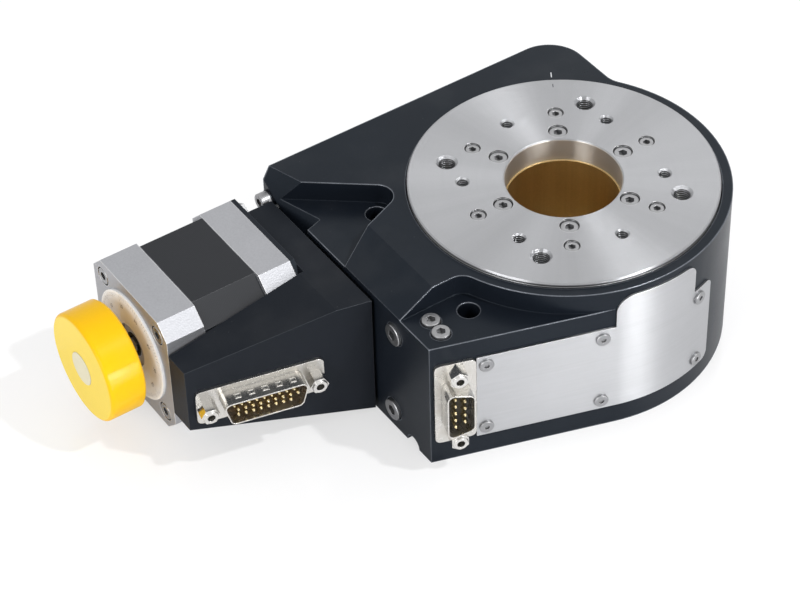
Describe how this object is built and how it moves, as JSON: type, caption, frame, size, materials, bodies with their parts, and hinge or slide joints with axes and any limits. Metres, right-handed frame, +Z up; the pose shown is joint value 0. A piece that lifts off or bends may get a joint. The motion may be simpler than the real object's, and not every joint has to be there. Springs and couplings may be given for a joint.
{
  "type": "hollow rotary platform",
  "caption": "Worm-driven hollow turntable in a black housing, with a stepping motor and hand knob on the worm line, and D-shaped connectors for the motor and the sensor.",
  "frame": {"origin": "on the platform's turning axis, in the plane of the base", "axes": "+Z up along the turning axis; +X away from the motor, along the worm; +Y towards the worm"},
  "size_m": [0.1943, 0.1128, 0.0544],
  "materials": {
    "black_anodised": "black anodised, fine satin",
    "bracket_black": "black anodised, satin",
    "cover_black": "black anodised, satin",
    "screw_steel": "bright stainless steel",
    "dark_screw": "blackened steel",
    "washer_black": "black oxide",
    "platform_silver": "clear anodised, turned",
    "bearing_steel": "ground",
    "ball_steel": "polished",
    "cage_brass": "machined",
    "wheel_bronze": "machined bronze",
    "encoder_steel": "fine ground",
    "sensor_plastic": "moulded",
    "board_green": "solder-masked board",
    "worm_steel": "ground",
    "shaft_steel": "ground",
    "coupling_aluminium": "turned",
    "spider_rubber": "elastomer",
    "motor_bell": "cast and milled",
    "stator_black": "black painted laminations",
    "coil_copper": "enamelled copper",
    "rotor_steel": "laminated",
    "scale_white": null,
    "knob_yellow": "moulded, glossy",
    "cap_white": "bare",
    "connector_nickel": "nickel plated",
    "jackscrew_nickel": "nickel plated",
    "insulator_brown": "moulded",
    "insulator_black": "moulded",
    "pin_gold": "gold plated",
    "cover_satin": "satin sheet, bare"
  },
  "bodies": {
    "base": {"housing": "black_anodised", "base_cover": "cover_black", "base_cover_screws": "screw_steel", "bearing_outer_ring": "bearing_steel", "bearing_screws": "dark_screw", "encoder_head": "sensor_plastic", "sensor_board": "board_green", "worm_end_cap": "cover_black", "shaft_bearing_outer_rings": "bearing_steel", "motor_front_bell": "motor_bell", "motor_stator": "stator_black", "motor_coils": "coil_copper", "motor_rear_bell": "motor_bell", "motor_screws": "screw_steel", "motor_plate": "cover_black", "motor_nuts": "screw_steel", "scale_ring": "scale_white", "motor_bracket": "bracket_black", "bracket_screws": "dark_screw", "bracket_cover": "cover_black", "bracket_cover_screws": "screw_steel", "controller_board": "board_green", "controller_shell": "connector_nickel", "controller_insulator": "insulator_brown", "controller_pins": "pin_gold", "controller_jackscrews": "jackscrew_nickel", "sensor_shell": "connector_nickel", "sensor_insulator": "insulator_black", "sensor_pins": "pin_gold", "sensor_jackscrews": "jackscrew_nickel", "side_cover": "cover_satin", "side_cover_screws": "screw_steel", "shelf_screws": "screw_steel", "end_face_screws": "screw_steel", "preload_screw": "screw_steel", "preload_washer": "washer_black"},
    "turntable": {"platform": "platform_silver", "hub_screws": "screw_steel", "ring_screws": "screw_steel", "bearing_inner_ring": "bearing_steel", "worm_wheel": "wheel_bronze", "encoder_ring": "encoder_steel"},
    "main_ball_set": {"bearing_balls": "ball_steel", "bearing_cage": "cage_brass"},
    "drive_line": {"worm_shaft": "worm_steel", "worm_lock_nut": "dark_screw", "shaft_bearing_inner_rings": "bearing_steel", "worm_coupling_hub": "coupling_aluminium", "coupling_spider": "spider_rubber", "motor_coupling_hub": "coupling_aluminium", "motor_rotor": "rotor_steel", "motor_shaft": "shaft_steel", "knob": "knob_yellow", "knob_cap": "cap_white", "knob_set_screw": "dark_screw"},
    "motor_ball_set": {"motor_bearing_balls": "ball_steel"},
    "worm_ball_set": {"worm_bearing_balls": "ball_steel"}
  },
  "joints": [
    {"name": "platform_spin", "type": "hinge", "parent": "base", "child": "turntable", "pos_m": [0, 0, 0.04], "axis": [0, 0, 1], "continuous": true},
    {"name": "drive_spin", "type": "hinge", "parent": "base", "child": "drive_line", "pos_m": [-0.07, 0.041, 0.025], "axis": [1, 0, 0], "continuous": true},
    {"name": "main_ball_orbit", "type": "hinge", "parent": "base", "child": "main_ball_set", "pos_m": [0, 0, 0.04], "axis": [0, 0, 1], "continuous": true},
    {"name": "motor_ball_orbit", "type": "hinge", "parent": "base", "child": "motor_ball_set", "pos_m": [-0.1, 0.041, 0.025], "axis": [1, 0, 0], "continuous": true},
    {"name": "worm_ball_orbit", "type": "hinge", "parent": "base", "child": "worm_ball_set", "pos_m": [0, 0.041, 0.025], "axis": [1, 0, 0], "continuous": true}
  ],
  "couplings": [
    {"joint": "drive_spin", "follows": "platform_spin", "ratio": 90},
    {"joint": "main_ball_orbit", "follows": "platform_spin", "ratio": 0.46528},
    {"joint": "motor_ball_orbit", "follows": "platform_spin", "ratio": 32.019},
    {"joint": "worm_ball_orbit", "follows": "platform_spin", "ratio": 34.333}
  ]
}
